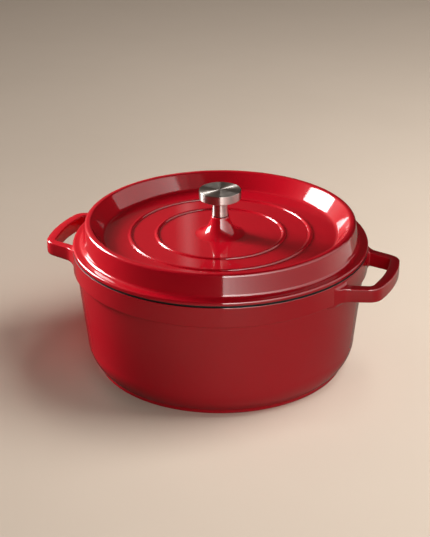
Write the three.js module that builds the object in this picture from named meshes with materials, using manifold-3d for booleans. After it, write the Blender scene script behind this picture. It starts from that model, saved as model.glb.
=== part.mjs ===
// A round enamelled cast-iron dutch oven: a pot cast in one with its two loop handles, and a
// lift-off lid whose metal knob is held by a screw from below. Millimetres, +Z up. The origin is
// the centre of the base on the surface that the pot stands on, and the handles lie along X.
import * as THREE from "three";
import { mergeVertices } from "three/addons/utils/BufferGeometryUtils.js";
import Module from "manifold-3d";

const wasm = await Module();
wasm.setup();

// Driving dimensions
const RIM_RADIUS = 137; // outside of the pot's collar and of the lid's flange
const RIM_HEIGHT = 115; // top of the pot's rim, where the lid sits
const WALL = 3.4; // thickness of the castings' walls
const GAP = 0.3; // clearance between pieces that rest on each other
const CASTING_SEGMENTS = 60; // straight steps round the pot and the lid

// Pot
const FOOT_RADIUS = 116.3;
const FOOT_HEIGHT = 4.2;
const FOOT_EDGE = 0.8;
const FLOOR_TOP = 4.4;
const BODY_TAPER = 0.11; // growth of the body's radius for each millimetre of height
const CORNER_RADIUS = 30; // between the foot and the body's wall
const CORNER_TOP = 26; // height where the corner ends and the straight wall begins
const COLLAR_BOTTOM = 94.5;
const COLLAR_STEP = 3.1; // how far the collar stands out from the body
const RIM_WIDTH = 5.6;
const BODY_TOP_RADIUS = RIM_RADIUS - COLLAR_STEP;
const bodyRadius = (z) => BODY_TOP_RADIUS - BODY_TAPER * (COLLAR_BOTTOM - z);

// One handle's plan outline for y > 0, from its root in the collar to its grip bar. Each corner
// is [x, y, cut], where x runs outwards from the pot's axis and cut is how far the rounding reaches.
const HANDLE_OUTSIDE = [
  [122.5, 57],
  [135, 45.4, 7],
  [162.8, 37.6, 10],
  [165.4, 23, 3],
  [167.4, 12, 3],
];
const HANDLE_INSIDE = [
  [131.5, 32.5],
  [134, 36.8, 2.4],
  [155, 31.4, 4],
  [156.8, 18, 3],
  [158, 8, 3],
];
const HANDLE_TOP = 109.8;
const HANDLE_THICKNESS = 13.9;
const HANDLE_EDGE = 1.6; // rounding of the handle's long edges

// Lid
const LID_SEAT = RIM_HEIGHT + GAP;
const FLANGE_TOP = 120.4;
const SKIRT_RADIUS = 128.8; // foot of the raised rim's outer wall
const CREST_RADIUS = 124.9; // outside of the raised rim at its top
const CREST_INNER = 119.8; // inside of the raised rim at its top
const CREST_TOP = 140.8;
const PLATE_RADIUS = 108.6; // foot of the raised rim's inner slope
const PLATE_TOP = 126;
const PLATE_BOTTOM = 122.1;
const CHANNEL_TOP = [121.4, 137]; // hollow under the raised rim
const LIP_RADIUS = 130; // the locating lip, which drops inside the pot's rim
const LIP_WIDTH = 3.6;
const LIP_BOTTOM = 111.5;
const RING_RADII = [58.8, 83.5]; // the two raised rings
const RING_WIDTH = 4;
const RING_HEIGHT = 1.5;
const BOSS_TOP = 144;
const BOSS_RADIUS = 23;
const BOSS_TOP_RADIUS = 8.3;
const SCREW_HOLE_RADIUS = 3.2;
const SPIKE_RINGS = [[40, 6], [68, 12], [96, 18]]; // radius of each ring of spikes, and its count
const SPIKE_ROOT_RADIUS = 3;
const SPIKE_TIP_RADIUS = 1.3;
const SPIKE_HEIGHT = 3.2;

// Knob and its fasteners
const KNOB_BOTTOM = BOSS_TOP + GAP;
const KNOB_TOP = 169.4;
const NECK_RADIUS = 7.6;
const NECK_WAIST = 6.9;
const DISC_RADIUS = 19.4;
const DISC_BOTTOM = 161;
const KNOB_BORE = { radius: 2.8, depth: 14 };
const FLAT_WASHER = { radius: 8, hole: 3, thickness: 1.2 };
const LOCK_WASHER = { radius: 5.2, hole: 3, thickness: 1.5, split: 1 };
const SCREW = { radius: 2.5, engaged: 12, headRadius: 5.4, headHeight: 3.2 };
const DRIVE_RECESS = { length: 5.6, width: 1.3, depth: 1.8 };

const enamel = new THREE.MeshStandardMaterial({ color: 0xa8101c, roughness: 0.12, metalness: 0 });
const nickel = new THREE.MeshStandardMaterial({ color: 0xc9c5c0, roughness: 0.28, metalness: 1 });
const steel = new THREE.MeshStandardMaterial({ color: 0xa9abad, roughness: 0.35, metalness: 1 });

// Points for [x, y, cut] corners, where a corner with a cut becomes a short curve.
function rounded(corners, steps, closed = false) {
  const last = corners.length - 1;
  return corners.flatMap(([x, y, cut], i) => {
    const corner = new THREE.Vector2(x, y);
    if (!cut || (!closed && (i === 0 || i === last))) return [corner];
    const towards = ([nextX, nextY]) =>
      new THREE.Vector2(nextX, nextY).sub(corner).setLength(cut).add(corner);
    const before = towards(corners[i === 0 ? last : i - 1]);
    const after = towards(corners[i === last ? 0 : i + 1]);
    return new THREE.QuadraticBezierCurve(before, corner, after).getPoints(steps);
  });
}

// Corners along a circular arc in the [r, z] plane, with angles from the outward direction.
function arc(radius, [centreR, centreZ], from, to, steps) {
  return Array.from({ length: steps + 1 }, (_, i) => {
    const angle = from + ((to - from) * i) / steps;
    return [centreR + radius * Math.cos(angle), centreZ + radius * Math.sin(angle)];
  });
}

// Turns [r, z] corners round the Z axis. A profile runs up its outside and down its inside.
function turned(corners, segments, steps = 1) {
  return new THREE.LatheGeometry(rounded(corners, steps), segments).rotateX(Math.PI / 2);
}

// A flat ring or disc with its faces at two heights.
function ring(hole, radius, bottom, top, segments) {
  return turned([[hole, top], [hole, bottom], [radius, bottom], [radius, top], [hole, top]], segments);
}

function solid(geometry) {
  const bare = new THREE.BufferGeometry().setAttribute("position", geometry.getAttribute("position"));
  const merged = mergeVertices(bare.setIndex(geometry.index), 1e-3);
  return new wasm.Manifold(
    new wasm.Mesh({
      numProp: 3,
      vertProperties: merged.attributes.position.array,
      triVerts: new Uint32Array(merged.index.array),
    }),
  );
}

function piece(name, manifold, material) {
  const { vertProperties, triVerts } = manifold.getMesh();
  const geometry = new THREE.BufferGeometry()
    .setAttribute("position", new THREE.BufferAttribute(vertProperties, 3))
    .setIndex(new THREE.BufferAttribute(triVerts, 1));
  const mesh = new THREE.Mesh(geometry, material);
  mesh.name = name;
  return mesh;
}

// The handle's plan outline: out along one arm, across the bar and back, then its inside.
function handleShape() {
  const flipped = (corners) => corners.map(([x, y, cut]) => [x, -y, cut]);
  const corners = [
    ...flipped(HANDLE_OUTSIDE),
    ...HANDLE_OUTSIDE.toReversed(),
    ...HANDLE_INSIDE,
    ...flipped(HANDLE_INSIDE).toReversed(),
  ];
  return new THREE.Shape(rounded(corners, 2, true));
}

function handle() {
  const depth = HANDLE_THICKNESS - 2 * HANDLE_EDGE;
  return new THREE.ExtrudeGeometry(handleShape(), {
    depth,
    bevelSize: HANDLE_EDGE,
    bevelThickness: HANDLE_EDGE,
    bevelOffset: -HANDLE_EDGE,
    bevelSegments: 2,
  }).translate(0, 0, HANDLE_TOP - HANDLE_EDGE - depth);
}

// The pot's outside from the base up to the rim, then its inside down to the floor.
function potProfile() {
  const outerCentre = [bodyRadius(CORNER_TOP) - CORNER_RADIUS, CORNER_TOP];
  const footAngle = Math.asin((FOOT_HEIGHT - CORNER_TOP) / CORNER_RADIUS);
  const innerRadius = CORNER_RADIUS - WALL;
  const innerCentreZ = FLOOR_TOP + innerRadius;
  const innerCentre = [bodyRadius(innerCentreZ) - WALL - innerRadius, innerCentreZ];
  return [
    [0, 0],
    [FOOT_RADIUS, 0, FOOT_EDGE],
    [FOOT_RADIUS, FOOT_HEIGHT - 1],
    ...arc(CORNER_RADIUS, outerCentre, footAngle, 0, 5),
    [BODY_TOP_RADIUS, COLLAR_BOTTOM, 1],
    [RIM_RADIUS, COLLAR_BOTTOM + 1.2, 2],
    [RIM_RADIUS, RIM_HEIGHT, 1.2],
    [RIM_RADIUS - RIM_WIDTH, RIM_HEIGHT, 1.2],
    [BODY_TOP_RADIUS - WALL, COLLAR_BOTTOM],
    ...arc(innerRadius, innerCentre, 0, -Math.PI / 2, 5),
    [0, FLOOR_TOP],
  ];
}

function pot() {
  return solid(turned(potProfile(), CASTING_SEGMENTS, 2))
    .add(solid(handle()))
    .add(solid(handle().rotateZ(Math.PI)));
}

// Corners over a half-round ring raised from the lid's plate, from its outside to its inside.
function raisedRing(radius) {
  const half = RING_WIDTH / 2;
  return [
    [radius + half, PLATE_TOP],
    [radius + half / 2, PLATE_TOP + RING_HEIGHT],
    [radius - half / 2, PLATE_TOP + RING_HEIGHT],
    [radius - half, PLATE_TOP],
  ];
}

// The boss's hollow flare, from the plate up to the flat that the knob stands on.
function bossFlare() {
  const foot = new THREE.Vector2(BOSS_RADIUS, PLATE_TOP);
  const pull = new THREE.Vector2(BOSS_TOP_RADIUS + 2.6, PLATE_TOP + 2.4);
  const top = new THREE.Vector2(BOSS_TOP_RADIUS, BOSS_TOP);
  return new THREE.QuadraticBezierCurve(foot, pull, top).getPoints(5).map(({ x, y }) => [x, y]);
}

// The lid's outside from the locating lip over the raised rim to the boss, then its underside.
function lidProfile() {
  const lipInner = LIP_RADIUS - LIP_WIDTH;
  return [
    [lipInner, LIP_BOTTOM],
    [LIP_RADIUS, LIP_BOTTOM, 0.8],
    [LIP_RADIUS, LID_SEAT],
    [RIM_RADIUS, LID_SEAT, 0.8],
    [RIM_RADIUS, FLANGE_TOP, 2],
    [SKIRT_RADIUS, FLANGE_TOP, 2.6],
    [CREST_RADIUS, CREST_TOP, 2.2],
    [CREST_INNER, CREST_TOP, 2.2],
    [PLATE_RADIUS, PLATE_TOP, 2.6],
    ...RING_RADII.toReversed().flatMap(raisedRing),
    ...bossFlare(),
    [SCREW_HOLE_RADIUS, BOSS_TOP],
    [SCREW_HOLE_RADIUS, PLATE_BOTTOM],
    [PLATE_RADIUS + 1.6, PLATE_BOTTOM, 3],
    [...CHANNEL_TOP, 2.5],
    [lipInner - 1.5, FLANGE_TOP - 1, 2],
    [lipInner, LIP_BOTTOM],
  ];
}

// One blunt spike hanging from the lid's underside, sunk a little way into the plate.
function spike() {
  const corners = [
    [0, -SPIKE_HEIGHT],
    [SPIKE_TIP_RADIUS, -SPIKE_HEIGHT],
    [SPIKE_ROOT_RADIUS, 0.5],
    [0, 0.5],
  ];
  return turned(corners, 6).translate(0, 0, PLATE_BOTTOM);
}

function lid() {
  const spikes = SPIKE_RINGS.flatMap(([radius, count]) =>
    Array.from({ length: count }, (_, i) =>
      solid(spike().translate(radius, 0, 0).rotateZ((2 * Math.PI * (i + 0.5)) / count)),
    ),
  );
  return wasm.Manifold.union([solid(turned(lidProfile(), CASTING_SEGMENTS)), ...spikes]);
}

// The knob, with a blind bore for its screw. Its flat top ends in a small rounded edge.
function knob() {
  const boreTop = KNOB_BOTTOM + KNOB_BORE.depth;
  return solid(turned([
    [0, boreTop],
    [KNOB_BORE.radius, boreTop],
    [KNOB_BORE.radius, KNOB_BOTTOM],
    [NECK_RADIUS, KNOB_BOTTOM, 0.5],
    [NECK_WAIST, DISC_BOTTOM - 4],
    [NECK_WAIST + 1.4, DISC_BOTTOM, 0.8],
    [DISC_RADIUS, DISC_BOTTOM, 0.9],
    [DISC_RADIUS, KNOB_TOP, 0.9],
    [0, KNOB_TOP],
  ], 32));
}

const washerTop = PLATE_BOTTOM - GAP;
const lockWasherTop = washerTop - FLAT_WASHER.thickness - GAP;
const screwHeadTop = lockWasherTop - LOCK_WASHER.thickness - GAP;

function flatWasher() {
  const { hole, radius, thickness } = FLAT_WASHER;
  return solid(ring(hole, radius, washerTop - thickness, washerTop, 24));
}

// A split ring: the gap in it lets it press like a spring.
function lockWasher() {
  const { hole, radius, thickness, split } = LOCK_WASHER;
  const cut = new THREE.BoxGeometry(2 * radius, split, 4 * thickness)
    .translate(radius, 0, lockWasherTop);
  return solid(ring(hole, radius, lockWasherTop - thickness, lockWasherTop, 24)).subtract(solid(cut));
}

// A pan-head screw with a cross recess, running up through the boss into the knob's bore.
function screw() {
  const { radius, engaged, headRadius, headHeight } = SCREW;
  const headBottom = screwHeadTop - headHeight;
  const blank = turned([
    [0, headBottom],
    [headRadius - 1.6, headBottom],
    [headRadius, headBottom + 1.4],
    [headRadius, screwHeadTop],
    [radius, screwHeadTop],
    [radius, KNOB_BOTTOM + engaged - 1],
    [radius - 1, KNOB_BOTTOM + engaged],
    [0, KNOB_BOTTOM + engaged],
  ], 20);
  const { length, width, depth } = DRIVE_RECESS;
  const slot = new THREE.BoxGeometry(length, width, 2 * depth).translate(0, 0, headBottom);
  return solid(blank).subtract(solid(slot)).subtract(solid(slot.clone().rotateZ(Math.PI / 2)));
}

const group = new THREE.Group();
group.add(
  piece("pot", pot(), enamel),
  piece("lid", lid(), enamel),
  piece("knob", knob(), nickel),
  piece("knob_screw", screw(), steel),
  piece("flat_washer", flatWasher(), steel),
  piece("lock_washer", lockWasher(), steel),
);

export default group;
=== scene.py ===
"""The looks of an enamelled cast-iron dutch oven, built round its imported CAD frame. Metres, +Z up."""

import math

import bmesh
import bpy
from mathutils import Matrix, Vector

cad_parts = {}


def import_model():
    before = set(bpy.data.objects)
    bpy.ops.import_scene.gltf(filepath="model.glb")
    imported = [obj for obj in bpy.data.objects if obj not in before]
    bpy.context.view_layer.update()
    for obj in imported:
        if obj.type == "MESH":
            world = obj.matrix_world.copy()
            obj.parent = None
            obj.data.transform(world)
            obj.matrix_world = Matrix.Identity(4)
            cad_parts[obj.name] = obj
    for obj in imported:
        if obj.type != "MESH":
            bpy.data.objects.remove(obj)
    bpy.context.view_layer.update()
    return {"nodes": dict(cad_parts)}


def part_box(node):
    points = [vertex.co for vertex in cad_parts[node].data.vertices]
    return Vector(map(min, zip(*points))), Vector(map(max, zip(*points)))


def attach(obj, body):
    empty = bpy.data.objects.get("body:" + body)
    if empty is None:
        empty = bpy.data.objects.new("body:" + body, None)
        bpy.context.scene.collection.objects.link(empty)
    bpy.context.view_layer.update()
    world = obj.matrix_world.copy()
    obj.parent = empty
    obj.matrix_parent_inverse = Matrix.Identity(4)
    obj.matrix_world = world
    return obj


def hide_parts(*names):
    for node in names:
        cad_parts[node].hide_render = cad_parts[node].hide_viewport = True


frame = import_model()

MM = 0.001
TURN_STEPS = 240  # round a casting
SMALL_TURN_STEPS = 96  # round the knob
ARC_STEPS = 8  # in a quarter-circle edge rounding
GAP = 0.3  # between pieces that touch
SUPPORT = 0.6  # from an edge rounding to the extra loop that keeps a flat face flat

# Sizes taken from the CAD frame, in millimetres like all the sizes below
pot_low, pot_high = (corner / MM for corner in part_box("pot"))
lid_low, lid_high = (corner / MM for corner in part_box("lid"))
knob_low, knob_high = (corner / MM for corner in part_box("knob"))
RIM_RADIUS = lid_high.y
RIM_HEIGHT = pot_high.z
HANDLE_REACH = pot_high.x
LIP_BOTTOM = lid_low.z
BOSS_TOP = lid_high.z
KNOB_BOTTOM = knob_low.z
KNOB_TOP = knob_high.z
KNOB_RADIUS = knob_high.x

# Pot
WALL = 3.4
FOOT_RADIUS = 116.3
FOOT_HEIGHT = 4.2
FLOOR_TOP = 4.4
BODY_TAPER = 0.11
CORNER_RADIUS = 30
CORNER_TOP = 26
COLLAR_BOTTOM = 94.5
COLLAR_STEP = 3.1
BODY_TOP_RADIUS = RIM_RADIUS - COLLAR_STEP
RIM_WIDTH = 5.6
RIM_BLACK = 0.4  # how far down over the rounded rim the black of the inside comes

# Handles, in plan: x runs outwards from the pot's axis and y along the grip bar
HANDLE_TOP = 109.8
HANDLE_BOTTOM = 95.9
HANDLE_TOP_EDGE = 1.4
HANDLE_BOTTOM_EDGE = 2.8
BAR_WIDTH = 9.5
BAR_BOW = 130  # radius of the bar's outer curve
BAR_STEPS = 14
BAR_END = 9  # from a corner of the outline to the end of the bowed stretch
HANDLE_LOOPS = 121
HANDLE_OUTSIDE = ((120.5, 59), (134.6, 45.4, 13), (162.7, 37.7, 14))  # root, fillet and corner
HANDLE_INSIDE = ((130.5, 30.5), (133.6, 37), (155, 31.3, 5))
ROOT_FLARE = 3.2  # how far the fillets at the roots spread up and down

# Lid
LID_SEAT = RIM_HEIGHT + GAP
PLATE_TOP = 126
PLATE_BOTTOM = 122.1
PLATE_RADIUS = 108.6
FLANGE_TOP = 120.4
SKIRT_RADIUS = 128.8
CREST_RADIUS = 124.9
CREST_INNER = 119.8
CREST_TOP = 140.8
CHANNEL_TOP = (121.4, 137)  # top of the hollow under the crest, as radius and height
LIP_RADIUS = 130
LIP_INNER = 126.4
EDGE_BLACK = 1.5  # height of the black band round the foot of the flange
RING_RADII = (83.5, 58.8)
RING_WIDTH = 4
RING_HEIGHT = 1.5
RING_SLOPE = 0.8  # how far in from a ring's foot its top begins
BOSS_RADIUS = 23
BOSS_TOP_RADIUS = 8.3
SCREW_HOLE_RADIUS = 3.2
SPIKE_RINGS = ((40, 6), (68, 12), (96, 18))  # radius of each ring of spikes, and its count
SPIKE_HEIGHT = 3.2

# Knob
DISC_BOTTOM = 161
NECK_RADIUS = 7.6
NECK_WAIST = 6.9
KNOB_BORE_RADIUS = 2.8
KNOB_BORE_DEPTH = 14

# Camera, in degrees and metres, with azimuth 0 towards -Y and 90 towards +X
CAMERA_AZIMUTH = 20.1
CAMERA_ELEVATION = 23.7
CAMERA_DISTANCE = 1.4915
CAMERA_AIM = Vector((-0.0017, -0.0103, 0.0938))
CAMERA_ROLL = -0.42
CAMERA_LENS = 107.4

# Lights. The pale wall to the right is a row of strips, brightest at the one nearest the camera.
# Its azimuths and fades are in degrees, measured from the camera's side.
WALL_START = 1.5
WALL_STEP = 4.25
WALL_STRIPS = 28
WALL_FAR = 0.55  # radiance of every strip
WALL_NEAR = 5.2  # extra radiance of the nearest strip
WALL_FADE = 17
WALL_SHEEN = 11  # extra radiance of the nearest strip that shows in the oven's reflections alone
WALL_SHEEN_FADE = 38
WALL_END = 0.4  # extra radiance towards the strip farthest round
WARM = (1, 0.95, 0.91)


# Profiles and outlines ------------------------------------------------------------------------


def filleted(corners, steps=ARC_STEPS):
    """Points along (x, y, radius) corners, where a corner with a radius becomes a true arc."""
    points = []
    for i, corner in enumerate(corners):
        here = Vector(corner[:2])
        radius = corner[2] if len(corner) > 2 else 0
        if not radius:
            points.append(here)
            continue
        before = (Vector(corners[i - 1][:2]) - here).normalized()
        after = (Vector(corners[(i + 1) % len(corners)][:2]) - here).normalized()
        half = before.angle(after) / 2
        centre = here + (before + after).normalized() * (radius / math.sin(half))
        start = here + before * (radius / math.tan(half)) - centre
        end = here + after * (radius / math.tan(half)) - centre
        sweep = math.atan2(start.x * end.y - start.y * end.x, start.dot(end))
        count = max(2, round(steps * abs(sweep) / (math.pi / 2)))
        for k in range(count + 1):
            angle = sweep * k / count
            x = start.x * math.cos(angle) - start.y * math.sin(angle)
            y = start.x * math.sin(angle) + start.y * math.cos(angle)
            points.append(centre + Vector((x, y)))
    return points


def supported(points):
    """The same outline with extra points close to the ends of each long straight stretch."""
    result = [points[0]]
    for a, b in zip(points, points[1:]):
        length = (b - a).length
        if length > 4 * SUPPORT:
            result.append(a.lerp(b, SUPPORT / length))
            result.append(b.lerp(a, SUPPORT / length))
        result.append(b)
    return result


def arc(radius, centre, start, end, steps):
    """Points on a circular arc, with angles in radians from the x direction."""
    angles = [start + (end - start) * k / steps for k in range(steps + 1)]
    return [(centre[0] + radius * math.cos(a), centre[1] + radius * math.sin(a)) for a in angles]


def curve(start, pull, end, steps):
    """Points on a quadratic curve from start to end, drawn towards pull."""
    start, pull, end = Vector(start), Vector(pull), Vector(end)
    result = []
    for k in range(steps + 1):
        t = k / steps
        result.append(tuple(start * (1 - t) ** 2 + pull * 2 * t * (1 - t) + end * t**2))
    return result


# Meshes ---------------------------------------------------------------------------------------


def new_object(name, bm, materials, body, replaced):
    """A smooth-shaded object that rides on a CAD body, from bm, which is in millimetres."""
    bmesh.ops.recalc_face_normals(bm, faces=bm.faces)
    bmesh.ops.scale(bm, vec=(MM, MM, MM), verts=bm.verts)
    mesh = bpy.data.meshes.new(name)
    bm.to_mesh(mesh)
    bm.free()
    mesh.shade_smooth()
    for material in materials:
        mesh.materials.append(material)
    obj = bpy.data.objects.new(name, mesh)
    bpy.context.scene.collection.objects.link(obj)
    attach(obj, body)
    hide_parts(replaced)
    return obj


def turn(bm, points, steps, materials=None):
    """Adds the surface of [r, z] points turned round Z. Points on the axis become single vertices.

    materials holds a material number for each stretch of the outline. An outline with no point on
    the axis is closed by a last stretch back to its first point.
    """
    loops = []
    for r, z in points:
        if r < 1e-6:
            loops.append([bm.verts.new((0, 0, z))])
            continue
        angles = [2 * math.pi * k / steps for k in range(steps)]
        loops.append([bm.verts.new((r * math.cos(a), r * math.sin(a), z)) for a in angles])
    pairs = list(zip(range(len(points)), range(1, len(points))))
    if points[0][0] > 1e-6:
        pairs.append((len(points) - 1, 0))
    for i, j in pairs:
        low, high = loops[i], loops[j]
        number = materials[i] if materials else 0
        for k in range(steps):
            here, there = k, (k + 1) % steps
            ring = [low[here % len(low)], low[there % len(low)]]
            ring += [high[there % len(high)], high[here % len(high)]]
            face = bm.faces.new(list(dict.fromkeys(ring)))
            face.material_index = number


def body_radius(z):
    return BODY_TOP_RADIUS - BODY_TAPER * (COLLAR_BOTTOM - z)


def pot_profile():
    """From the base up the outside to the rim, then down the inside to the floor."""
    outer_centre = (body_radius(CORNER_TOP) - CORNER_RADIUS, CORNER_TOP)
    foot_angle = math.asin((FOOT_HEIGHT - CORNER_TOP) / CORNER_RADIUS)
    inner_radius = CORNER_RADIUS - WALL
    inner_z = FLOOR_TOP + inner_radius
    inner_centre = (body_radius(inner_z) - WALL - inner_radius, inner_z)
    corners = [
        (0, 0),
        (FOOT_RADIUS, 0, 0.9),
        (FOOT_RADIUS, FOOT_HEIGHT - 1.2, 0.5),
        *arc(CORNER_RADIUS, outer_centre, foot_angle, 0, 16),
        (BODY_TOP_RADIUS, COLLAR_BOTTOM, 0.7),
        (RIM_RADIUS, COLLAR_BOTTOM + 1.6, 1.2),
        (RIM_RADIUS, RIM_HEIGHT, 0.7),
        (RIM_RADIUS - RIM_WIDTH, RIM_HEIGHT, 1.1),
        (BODY_TOP_RADIUS - WALL, COLLAR_BOTTOM, 20),
        *arc(inner_radius, inner_centre, 0, -math.pi / 2, 16),
        (0, FLOOR_TOP),
    ]
    return supported(filleted(corners))


def pot_shell(materials):
    """Red outside, and black on the base and from the rim's edge inwards."""
    points = pot_profile()
    rim = next(i for i, (r, z) in enumerate(points) if z > RIM_HEIGHT - RIM_BLACK)
    numbers = [int(z < 0.01 or i >= rim) for i, (r, z) in enumerate(points)]
    bm = bmesh.new()
    turn(bm, points, TURN_STEPS, numbers)
    return new_object("pot_shell", bm, materials, "pot", "pot")


def handle_outline(root, fillet, corner, bar_x):
    """One side of the handle in plan, from its root at y > 0 across the bar to its root at y < 0."""
    bar_half = corner[1] - BAR_END
    bar = [(bar_x - y * y / (2 * BAR_BOW), y) for y in
           [bar_half * (1 - k / BAR_STEPS) for k in range(BAR_STEPS + 1)]]
    half = filleted([root, fillet, corner, *bar])
    return half + [Vector((p.x, -p.y)) for p in reversed(half[:-1])]


def resampled(points, count):
    """Points spread evenly along an outline."""
    lengths = [0]
    for a, b in zip(points, points[1:]):
        lengths.append(lengths[-1] + (b - a).length)
    result = []
    i = 0
    for k in range(count):
        target = lengths[-1] * k / (count - 1)
        while i < len(points) - 2 and lengths[i + 1] < target:
            i += 1
        t = (target - lengths[i]) / (lengths[i + 1] - lengths[i])
        result.append(points[i].lerp(points[i + 1], min(1, t)))
    return result


def root_flare(x, y):
    """Spread of the fillet between a handle and the collar, at a place seen in plan."""
    distance = max(0, math.hypot(x, y) - RIM_RADIUS)
    if distance > ROOT_FLARE:
        return 0
    return ROOT_FLARE - math.sqrt(ROOT_FLARE**2 - (ROOT_FLARE - distance) ** 2)


def handle(name, side, materials):
    """A loop handle as one swept body, whose roots spread out to meet the collar."""
    outside = resampled(handle_outline(*HANDLE_OUTSIDE, HANDLE_REACH), HANDLE_LOOPS)
    inside = resampled(handle_outline(*HANDLE_INSIDE, HANDLE_REACH - BAR_WIDTH), HANDLE_LOOPS)
    middle = (HANDLE_TOP + HANDLE_BOTTOM) / 2
    half_height = (HANDLE_TOP - HANDLE_BOTTOM) / 2
    bm = bmesh.new()
    loops = []
    for outer, inner in zip(outside, inside):
        width = (outer - inner).length
        section = filleted([
            (0, -half_height, HANDLE_BOTTOM_EDGE),
            (width, -half_height, HANDLE_BOTTOM_EDGE),
            (width, half_height, HANDLE_TOP_EDGE),
            (0, half_height, HANDLE_TOP_EDGE),
        ], 5)
        loop = []
        for across, up in section:
            place = inner.lerp(outer, across / width)
            flare = root_flare(place.x, place.y) * up / half_height
            loop.append(bm.verts.new((side * place.x, side * place.y, middle + up + flare)))
        loops.append(loop)
    for one, other in zip(loops, loops[1:]):
        for k in range(len(one)):
            after = (k + 1) % len(one)
            bm.faces.new((one[k], one[after], other[after], other[k]))
    bm.faces.new(loops[0])
    bm.faces.new(loops[-1])
    return new_object(name, bm, materials, "pot", "pot")


def lid_profile():
    """From the screw hole's foot out along the underside, then over the top to the boss."""
    rings = []
    half = RING_WIDTH / 2
    for radius in RING_RADII:
        rings += [
            (radius + half, PLATE_TOP, 0.5),
            (radius + half - RING_SLOPE, PLATE_TOP + RING_HEIGHT, 1.6),
            (radius - half + RING_SLOPE, PLATE_TOP + RING_HEIGHT, 1.6),
            (radius - half, PLATE_TOP, 0.5),
        ]
    flare = curve((BOSS_RADIUS, PLATE_TOP), (BOSS_TOP_RADIUS + 2.6, PLATE_TOP + 2.4),
                  (BOSS_TOP_RADIUS, BOSS_TOP - 0.4), 24)
    corners = [
        (SCREW_HOLE_RADIUS, PLATE_BOTTOM, 0.4),
        (PLATE_RADIUS + 1.6, PLATE_BOTTOM, 6),
        (*CHANNEL_TOP, 2),
        (LIP_INNER - 1.5, FLANGE_TOP - 1, 4),
        (LIP_INNER, LIP_BOTTOM, 0.9),
        (LIP_RADIUS, LIP_BOTTOM, 0.9),
        (LIP_RADIUS, LID_SEAT, 0.5),
        (RIM_RADIUS, LID_SEAT, 0.9),
        (RIM_RADIUS, LID_SEAT + EDGE_BLACK),
        (RIM_RADIUS, FLANGE_TOP, 2),
        (SKIRT_RADIUS, FLANGE_TOP, 3.2),
        (CREST_RADIUS, CREST_TOP, 2.8),
        (CREST_INNER, CREST_TOP, 2.2),
        (PLATE_RADIUS, PLATE_TOP, 4),
        *rings,
        *flare,
        (BOSS_TOP_RADIUS - 0.5, BOSS_TOP),
        (SCREW_HOLE_RADIUS, BOSS_TOP, 0.3),
    ]
    return supported(filleted(corners))


def lid_shell(materials):
    """Black underneath and up to the flange's lower edge, then red over the top to the knob's seat."""
    points = lid_profile()
    band_top = LID_SEAT + EDGE_BLACK - 0.01
    edge = next(i for i, (r, z) in enumerate(points) if z > band_top and r > RIM_RADIUS - 0.1)
    seat = next(i for i, (r, z) in enumerate(points) if z > BOSS_TOP - 0.01)
    numbers = [int(i < edge or i >= seat) for i in range(len(points))]
    bm = bmesh.new()
    turn(bm, points, TURN_STEPS, numbers)
    return new_object("lid_shell", bm, materials, "lid", "lid")


def lid_spikes(materials):
    """The blunt basting spikes, each with a flared root sunk a little way into the plate."""
    profile = filleted([
        (0, -SPIKE_HEIGHT),
        (1.3, -SPIKE_HEIGHT, 0.8),
        (2.4, -0.9, 1.5),
        (4.2, 0, 0.2),
        (4, 0.6),
        (0, 0.6),
    ], 5)
    bm = bmesh.new()
    for radius, count in SPIKE_RINGS:
        for k in range(count):
            angle = 2 * math.pi * (k + 0.5) / count
            place = Vector((radius * math.cos(angle), radius * math.sin(angle), PLATE_BOTTOM))
            before = len(bm.verts)
            turn(bm, profile, 20)
            bm.verts.ensure_lookup_table()
            bmesh.ops.translate(bm, vec=place, verts=bm.verts[before:])
    return new_object("lid_spikes", bm, materials, "lid", "lid")


def knob(materials):
    """The turned knob, from the foot of its blind bore round to the middle of its top."""
    profile = supported(filleted([
        (0, KNOB_BOTTOM + KNOB_BORE_DEPTH),
        (KNOB_BORE_RADIUS, KNOB_BOTTOM + KNOB_BORE_DEPTH),
        (KNOB_BORE_RADIUS, KNOB_BOTTOM, 0.4),
        (NECK_RADIUS, KNOB_BOTTOM, 0.5),
        (NECK_WAIST, DISC_BOTTOM - 5, 30),
        (NECK_WAIST, DISC_BOTTOM, 2.6),
        (KNOB_RADIUS, DISC_BOTTOM, 1),
        (KNOB_RADIUS, KNOB_TOP, 0.8),
        (0, KNOB_TOP),
    ]))
    bm = bmesh.new()
    turn(bm, profile, SMALL_TURN_STEPS)
    return new_object("knob_turned", bm, materials, "lid", "knob")


# Materials ------------------------------------------------------------------------------------


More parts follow.
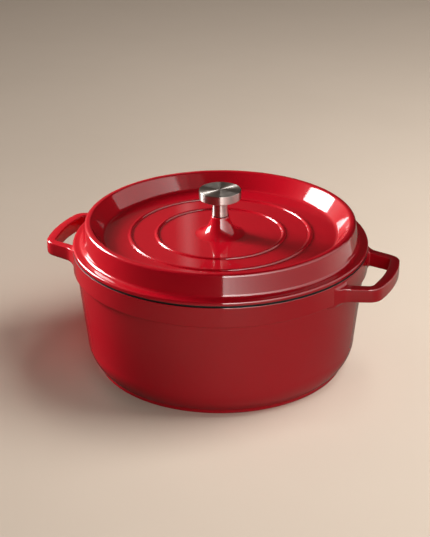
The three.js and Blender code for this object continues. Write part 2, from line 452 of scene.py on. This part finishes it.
class Nodes:
    """A short way to write a material's nodes."""

    def __init__(self, name):
        self.material = bpy.data.materials.new(name)
        self.material.use_nodes = True
        self.tree = self.material.node_tree
        self.shader = self.tree.nodes["Principled BSDF"]
        self.place = self.add("ShaderNodeTexCoord").outputs["Object"]

    def add(self, kind, inputs=(), **settings):
        """Adds a node. inputs holds (socket, value or output) pairs."""
        node = self.tree.nodes.new(kind)
        for key, value in settings.items():
            setattr(node, key, value)
        for socket, value in inputs:
            self.put(node.inputs[socket], value)
        return node

    def put(self, socket, value):
        if isinstance(value, bpy.types.NodeSocket):
            self.tree.links.new(value, socket)
        else:
            socket.default_value = value

    def noise(self, scale, detail=2.0, roughness=0.5, place=None):
        """Noise from 0 to 1, with scale in features per metre."""
        inputs = [("Vector", place or self.place), ("Scale", scale), ("Detail", detail)]
        return self.add("ShaderNodeTexNoise", [*inputs, ("Roughness", roughness)]).outputs["Fac"]

    def ranged(self, value, low, high, to_low, to_high):
        """value from low to high becomes to_low to to_high, and stays between them."""
        pairs = [("Value", value), ("From Min", low), ("From Max", high)]
        pairs += [("To Min", to_low), ("To Max", to_high)]
        return self.add("ShaderNodeMapRange", pairs).outputs[0]

    def near(self, spot, inner, outer):
        """1 within the inner distance of a spot, and down to 0 at the outer distance."""
        apart = self.add("ShaderNodeVectorMath", [(0, self.place), (1, spot)], operation="DISTANCE")
        return self.ranged(apart.outputs["Value"], inner, outer, 1, 0)

    def maths(self, operation, a, b=0.0):
        return self.add("ShaderNodeMath", [(0, a), (1, b)], operation=operation).outputs[0]

    def mixed(self, factor, a, b):
        """Colour a where factor is 0 and b where it is 1."""
        pairs = [("Factor", factor), (6, a), (7, b)]
        return self.add("ShaderNodeMix", pairs, data_type="RGBA").outputs[2]

    def bump(self, height, distance, strength=1.0, normal=None):
        pairs = [("Height", height), ("Distance", distance), ("Strength", strength)]
        if normal:
            pairs.append(("Normal", normal))
        return self.add("ShaderNodeBump", pairs).outputs["Normal"]

    def radius(self):
        """Distance from the pot's axis, in metres, and height."""
        parts = self.add("ShaderNodeSeparateXYZ", [("Vector", self.place)]).outputs
        squares = self.maths("ADD", self.maths("MULTIPLY", parts[0], parts[0]),
                             self.maths("MULTIPLY", parts[1], parts[1]))
        return self.maths("SQRT", squares), parts[2]

    def finish(self, **inputs):
        """Sets the shader's inputs, whose names are written with _ for a space."""
        for name, value in inputs.items():
            self.put(self.shader.inputs[name.replace("_", " ")], value)
        return self.material


def red_enamel():
    """Glossy vitreous enamel: a glassy coat with a faint orange peel over a deep cherry red."""
    n = Nodes("red_enamel")
    cloudy = n.noise(14, 3)
    speckle = n.noise(900, 2)
    colour = n.mixed(cloudy, (0.37, 0.0020, 0.0090, 1), (0.42, 0.0030, 0.0120, 1))
    colour = n.mixed(n.ranged(speckle, 0.66, 0.78, 0, 0.3), colour, (0.24, 0.0015, 0.006, 1))
    peel = n.bump(n.noise(170, 2), 0.00006, 0.11)
    fine = n.bump(speckle, 0.00001, 0.4, peel)
    smudge = n.noise(28, 4, 0.6)
    return n.finish(
        Base_Color=colour,
        Roughness=n.ranged(smudge, 0.3, 0.7, 0.30, 0.40),
        Specular_IOR_Level=0.02,
        Coat_Weight=1.0,
        Coat_Roughness=0.06,
        Coat_IOR=1.5,
        Normal=fine,
        Coat_Normal=peel,
    )


def black_enamel():
    """Matte black enamel with the fine grain of a cooking surface."""
    n = Nodes("black_enamel")
    grain = n.noise(1600, 3, 0.6)
    patches = n.noise(35, 3)
    colour = n.mixed(patches, (0.006, 0.006, 0.0065, 1), (0.013, 0.0125, 0.0125, 1))
    bump = n.bump(grain, 0.00008, 0.6, n.bump(n.noise(250, 2), 0.00012, 0.4))
    return n.finish(
        Base_Color=n.mixed(n.ranged(grain, 0.55, 0.8, 0, 0.6), colour, (0.03, 0.029, 0.028, 1)),
        Roughness=n.ranged(patches, 0.3, 0.7, 0.42, 0.58),
        Specular_IOR_Level=0.15,
        Normal=bump,
    )


def turned_steel(name, tint, roughness, anisotropy):
    """Steel turned on a lathe, with fine grooves round the axis that stretch its highlights."""
    n = Nodes(name)
    radius, height = n.radius()
    along = n.add("ShaderNodeCombineXYZ", [("X", radius), ("Y", height)]).outputs[0]
    grooves = n.noise(5200, 3, 0.7, along)
    broad = n.noise(500, 2, 0.5, along)
    smudge = n.noise(90, 3)
    dark = tuple(c * 0.72 for c in tint)
    colour = n.mixed(n.ranged(grooves, 0.35, 0.65, 0, 1), (*dark, 1), (*tint, 1))
    worn = n.ranged(smudge, 0.35, 0.7, roughness, roughness + 0.08)
    rough = n.maths("ADD", n.ranged(broad, 0.3, 0.7, -0.04, 0.04), worn)
    tangent = n.add("ShaderNodeTangent", direction_type="RADIAL", axis="Z").outputs[0]
    return n.finish(
        Base_Color=colour,
        Metallic=1.0,
        Roughness=rough,
        Anisotropic=anisotropy,
        Anisotropic_Rotation=0.25,
        Tangent=tangent,
        Normal=n.bump(grooves, 0.00001, 0.2),
    )


# Stage ----------------------------------------------------------------------------------------


def floor():
    """A wide pale worktop with a faint mottle.

    Only the camera sees it pale. It throws back less light than that: every other ray sees a darker
    colour, as painted shade, lighter in two painted pools of light.
    """
    mesh = bpy.data.meshes.new("floor")
    bm = bmesh.new()
    bmesh.ops.create_circle(bm, cap_ends=True, radius=6, segments=96)
    bm.to_mesh(mesh)
    bm.free()
    obj = bpy.data.objects.new("floor", mesh)
    bpy.context.scene.collection.objects.link(obj)
    n = Nodes("worktop")
    pale = n.mixed(n.noise(3, 3), (0.56, 0.49, 0.41, 1), (0.62, 0.545, 0.46, 1))
    # painted pools of light: the colour that reflections see is lighter near two fixed spots on the
    # worktop
    painted_light_pools = n.maths("MAXIMUM", n.near((0.11, -0.31, 0), 0.08, 0.36), n.near((0.5, 0.3, 0), 0.1, 0.5))
    # painted shade: a dark colour for the light the worktop throws back, lighter within the painted
    # pools
    painted_shade_colour = n.mixed(painted_light_pools, (0.13, 0.11, 0.093, 1), (0.38, 0.33, 0.275, 1))
    # the camera alone sees the even pale colour; all other rays see the painted shade and pools of
    # light
    seen = n.add("ShaderNodeLightPath").outputs["Is Camera Ray"]
    material = n.finish(
        Base_Color=n.mixed(seen, painted_shade_colour, pale),
        Roughness=n.ranged(n.noise(20, 3), 0.3, 0.7, 0.5, 0.6),
        Specular_IOR_Level=0.15,
    )
    mesh.materials.append(material)
    return obj


def towards(azimuth, elevation):
    """The unit vector out from the pot, with azimuth 0 towards -Y and 90 towards +X."""
    a, e = math.radians(azimuth), math.radians(elevation)
    return Vector((math.sin(a) * math.cos(e), -math.cos(a) * math.cos(e), math.sin(e)))


def area_light(name, place, facing, size, radiance, colour=(1, 1, 1)):
    """A rectangular soft light at a place, whose back is towards facing."""
    data = bpy.data.lights.new(name, "AREA")
    data.shape = "RECTANGLE"
    data.size, data.size_y = size
    data.energy = radiance * math.pi * size[0] * size[1]
    data.color = colour
    light = bpy.data.objects.new(name, data)
    bpy.context.scene.collection.objects.link(light)
    light.location = place
    light.rotation_mode = "QUATERNION"
    light.rotation_quaternion = facing.to_track_quat("Z", "Y")
    light.visible_camera = False
    return light


def softbox(name, azimuth, elevation, distance, size, radiance, colour=(1, 1, 1)):
    """A light that faces the lid. azimuth is measured from the camera's side."""
    direction = towards(CAMERA_AZIMUTH + azimuth, elevation)
    place = Vector((0, 0, 0.12)) + direction * distance
    return area_light(name, place, direction, size, radiance, colour)


def wall_panel(name, azimuth, distance, low, high, radiance):
    """One upright panel of a wall round the oven, as wide as one step of the wall."""
    out = towards(CAMERA_AZIMUTH + azimuth, 0)
    place = out * distance + Vector((0, 0, (low + high) / 2))
    width = 2 * math.tan(math.radians(WALL_STEP / 2)) * distance
    return area_light(name, place, out, (width, high - low), radiance, WARM)


def camera():
    data = bpy.data.cameras.new("camera")
    data.lens = CAMERA_LENS
    data.sensor_width = 36
    obj = bpy.data.objects.new("camera", data)
    bpy.context.scene.collection.objects.link(obj)
    direction = towards(CAMERA_AZIMUTH, CAMERA_ELEVATION)
    obj.location = Vector((0, 0, RIM_HEIGHT * MM)) + direction * CAMERA_DISTANCE
    back = (obj.location - CAMERA_AIM).normalized()
    obj.rotation_mode = "QUATERNION"
    roll = Matrix.Rotation(math.radians(CAMERA_ROLL), 3, "Z").to_quaternion()
    obj.rotation_quaternion = back.to_track_quat("Z", "Y") @ roll
    bpy.context.scene.camera = obj


def world():
    """A dim warm room, which brightens towards the key light behind the pot's left side."""
    made = bpy.data.worlds.new("studio")
    made.use_nodes = True
    tree = made.node_tree
    direction = tree.nodes.new("ShaderNodeTexCoord").outputs["Generated"]
    facing = tree.nodes.new("ShaderNodeVectorMath")
    facing.operation = "DOT_PRODUCT"
    facing.inputs[1].default_value = towards(CAMERA_AZIMUTH - 130, 25)
    tree.links.new(direction, facing.inputs[0])
    glow = tree.nodes.new("ShaderNodeValToRGB")
    glow.color_ramp.elements[0].position = 0.62
    glow.color_ramp.elements[0].color = (0.03, 0.022, 0.019, 1)
    glow.color_ramp.elements[1].position = 1
    glow.color_ramp.elements[1].color = (0.95, 0.78, 0.66, 1)
    bright = glow.color_ramp.elements.new(0.93)
    bright.color = (0.35, 0.28, 0.235, 1)
    middle = glow.color_ramp.elements.new(0.82)
    middle.color = (0.17, 0.13, 0.11, 1)
    tree.links.new(facing.outputs["Value"], glow.inputs["Fac"])
    tree.links.new(glow.outputs["Color"], tree.nodes["Background"].inputs["Color"])
    bpy.context.scene.world = made
    bpy.context.scene.view_settings.view_transform = "Standard"


def shines_on(light, objects):
    """Makes a light fall on these objects alone."""
    receivers = bpy.data.collections.new(light.name + "_receivers")
    for obj in objects:
        receivers.objects.link(obj)
    light.light_linking.receiver_collection = receivers


def wall(oven):
    """The strips of the wall, with a dimmer top and a foot that shows in reflections alone."""
    for k in range(WALL_STRIPS):
        azimuth = WALL_START + (k + 0.5) * WALL_STEP
        radiance = WALL_FAR + WALL_NEAR * math.exp(-k * WALL_STEP / WALL_FADE)
        top = 1.5 + 1.2 * min(1, k * WALL_STEP / 50)
        radiance += WALL_END * max(0, (azimuth - 70) / 45)
        wall_panel(f"wall_{k}", azimuth, 2.2, 0.12, top, radiance)
        sheen = WALL_SHEEN * math.exp(-k * WALL_STEP / WALL_SHEEN_FADE)
        mirrored = wall_panel(f"wall_sheen_{k}", azimuth, 2.15, 0.12, top, sheen)
        mirrored.visible_diffuse = False
        shines_on(mirrored, oven)
        wall_panel(f"wall_middle_{k}", azimuth, 2.2, top, top + 0.5, 0.6)
        wall_panel(f"wall_top_{k}", azimuth, 2.2, top + 0.5, top + 1.2, 0.3)
        wall_panel(f"wall_foot_{k}", azimuth, 0.5, 0, 0.12, 0.8 * radiance).visible_diffuse = False


def lights(worktop, oven, turned_knob):
    """The key lights the oven, weaker lights glint on the knob, and a lamp lights the worktop.

    The glare is a stack of narrow strips, so that its reflection fades towards its edges.
    """
    shines_on(softbox("key", -116, 22, 1.1, (0.58, 0.54), 23), oven)
    shines_on(softbox("key_core", -119, 22, 1.1, (0.16, 0.18), 125), oven)
    shines_on(softbox("knob_key", -118, 23, 1.1, (0.52, 0.585), 3.2), [turned_knob])
    shines_on(softbox("knob_glint", -118, 25, 1.3, (0.02, 0.7), 180), [turned_knob])
    for k, width in enumerate((0.008, 0.016, 0.026, 0.038)):
        glare = softbox(f"glare_{k}", -177.2, 24, 1.2 + 0.01 * k, (width, 0.9), 0.12, WARM)
        glare.visible_diffuse = False
    shines_on(softbox("lamp", 95, 55, 1.3, (0.9, 0.9), 9, WARM), [worktop])
    wall(oven)


camera()
worktop = floor()
world()

red, black = red_enamel(), black_enamel()
nickel = turned_steel("turned_nickel", (0.74, 0.70, 0.65), 0.36, 1.0)
plain_steel = turned_steel("plain_steel", (0.56, 0.56, 0.57), 0.3, 0.4)

turned_knob = knob([nickel])
oven = [
    pot_shell([red, black]),
    handle("handle_right", 1, [red]),
    handle("handle_left", -1, [red]),
    lid_shell([red, black]),
    lid_spikes([black]),
]
for node in ("knob_screw", "flat_washer", "lock_washer"):
    fastener = frame["nodes"][node]
    fastener.data.materials.clear()
    fastener.data.materials.append(plain_steel)
    oven.append(fastener)
lights(worktop, oven, turned_knob)
